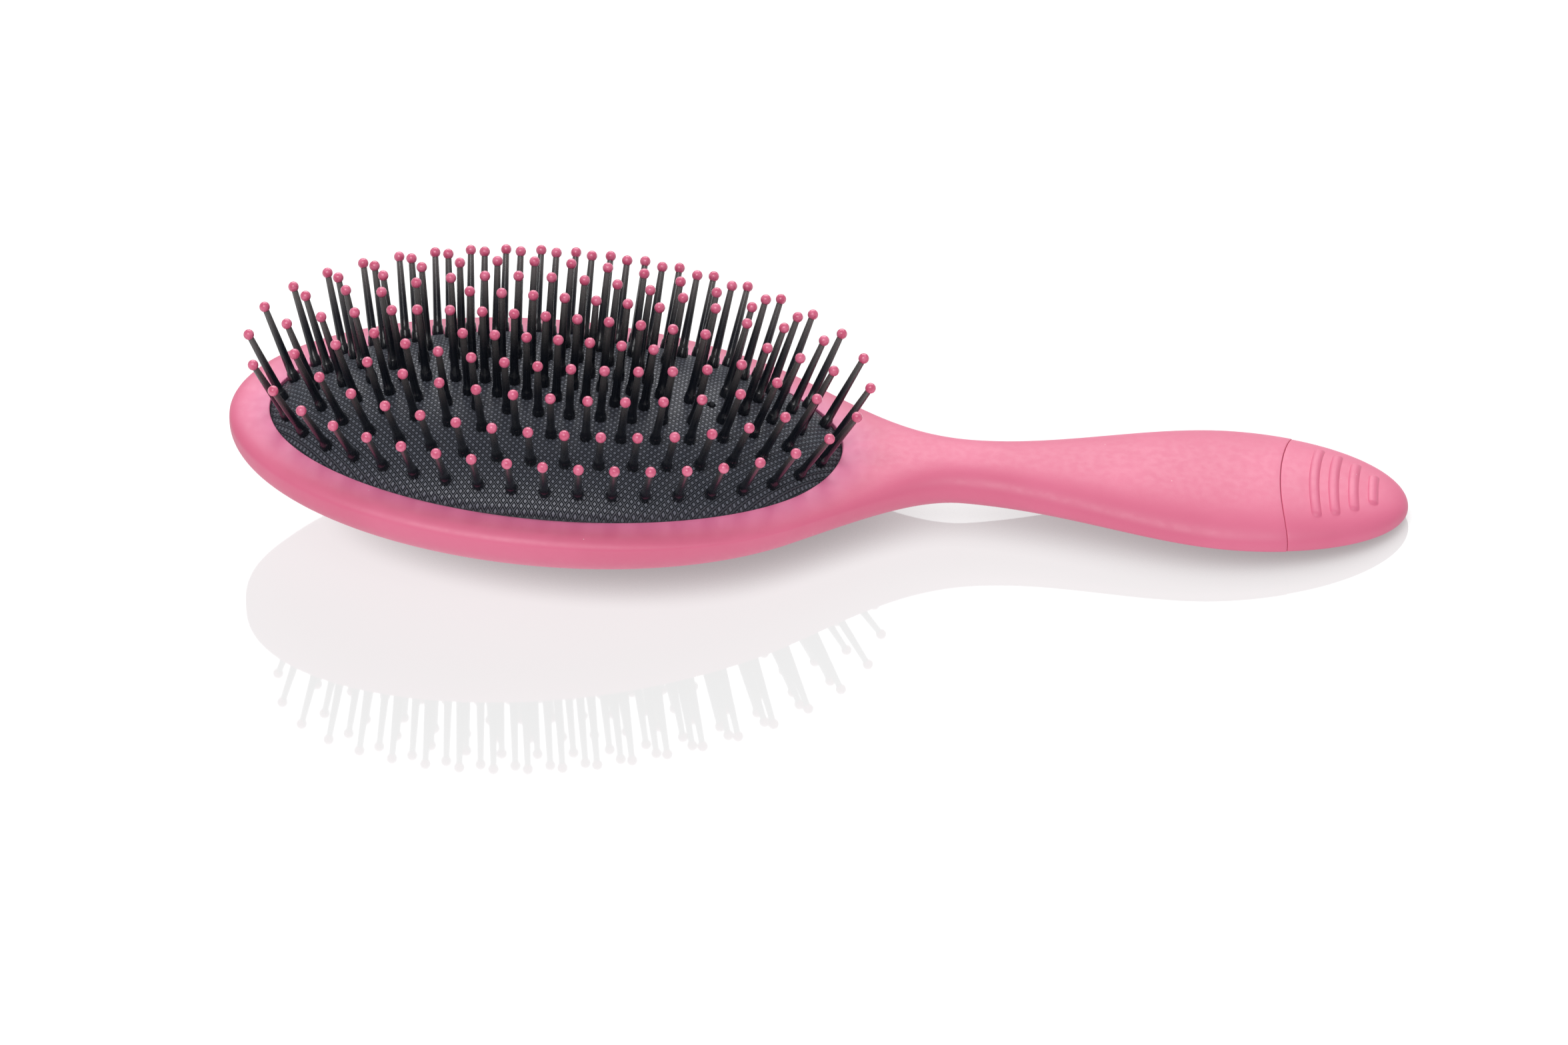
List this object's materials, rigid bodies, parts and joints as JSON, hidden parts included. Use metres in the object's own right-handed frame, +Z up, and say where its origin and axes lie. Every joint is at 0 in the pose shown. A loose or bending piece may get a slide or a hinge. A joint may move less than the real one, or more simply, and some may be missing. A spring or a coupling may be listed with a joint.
{
  "type": "bristle brush",
  "caption": "Oval cushion pin brush with ball-tipped pins in a domed rubber pad, a flat soft-touch handle and a ribbed pull-off end cap.",
  "frame": {"origin": "bottom centre of the bounding box, on the surface that the brush lies on with its pins up", "axes": "+X along the brush towards the end of the handle, +Y to the far side, +Z up; the pad's rim plane is pitched 5.4 degrees, head end up"},
  "size_m": [0.2241, 0.0732, 0.0473],
  "materials": {
    "soft_pink": "soft-touch matte",
    "tip_pink": "pearl gloss",
    "pad_rubber": "diamond-textured matte",
    "pin_nylon": "gloss, slightly smoky",
    "ring_nylon": "satin",
    "tongue_plastic": "satin"
  },
  "bodies": {
    "handle": {"handle_body": "soft_pink", "cushion_pad": "pad_rubber", "pad_retaining_ring": "ring_nylon"},
    "cap": {"end_cap": "soft_pink", "cap_tongue": "tongue_plastic"},
    "middle_row": {"pins_middle": "pin_nylon"},
    "inner_rows": {"pins_inner_far": "pin_nylon", "pins_inner_near": "pin_nylon"},
    "fourth_loop": {"pins_fourth_1": "pin_nylon", "pins_fourth_2": "pin_nylon", "pins_fourth_3": "pin_nylon", "pins_fourth_4": "pin_nylon"},
    "third_loop": {"pins_third_1": "pin_nylon", "pins_third_2": "pin_nylon", "pins_third_3": "pin_nylon", "pins_third_4": "pin_nylon"},
    "second_loop": {"pins_second_1": "pin_nylon", "pins_second_2": "pin_nylon", "pins_second_3": "pin_nylon", "pins_second_4": "pin_nylon"},
    "outer_loop": {"pins_outer_1": "pin_nylon", "pins_outer_2": "pin_nylon", "pins_outer_3": "pin_nylon", "pins_outer_4": "pin_nylon"}
  },
  "joints": [
    {"name": "cushion_press", "type": "slide", "parent": "handle", "child": "middle_row", "axis": [-0.0941, 0, -0.9956], "range_m": [0, 0.0035], "stiffness_N_per_m": 300, "deforming": ["cushion_pad"]},
    {"name": "press_inner", "type": "slide", "parent": "handle", "child": "inner_rows", "axis": [-0.0941, 0, -0.9956], "range_m": [0, 0.0035]},
    {"name": "press_fourth", "type": "slide", "parent": "handle", "child": "fourth_loop", "axis": [-0.0941, 0, -0.9956], "range_m": [0, 0.0033]},
    {"name": "press_third", "type": "slide", "parent": "handle", "child": "third_loop", "axis": [-0.0941, 0, -0.9956], "range_m": [0, 0.0029]},
    {"name": "press_second", "type": "slide", "parent": "handle", "child": "second_loop", "axis": [-0.0941, 0, -0.9956], "range_m": [0, 0.0022]},
    {"name": "press_outer", "type": "slide", "parent": "handle", "child": "outer_loop", "axis": [-0.0941, 0, -0.9956], "range_m": [0, 0.0011]},
    {"name": "cap_pull", "type": "slide", "parent": "handle", "child": "cap", "axis": [0.9956, 0, -0.0941], "range_m": [0, 0.05]}
  ],
  "couplings": [
    {"joint": "press_inner", "follows": "cushion_press", "ratio": 1},
    {"joint": "press_fourth", "follows": "cushion_press", "ratio": 0.93},
    {"joint": "press_third", "follows": "cushion_press", "ratio": 0.82},
    {"joint": "press_second", "follows": "cushion_press", "ratio": 0.61},
    {"joint": "press_outer", "follows": "cushion_press", "ratio": 0.3}
  ]
}
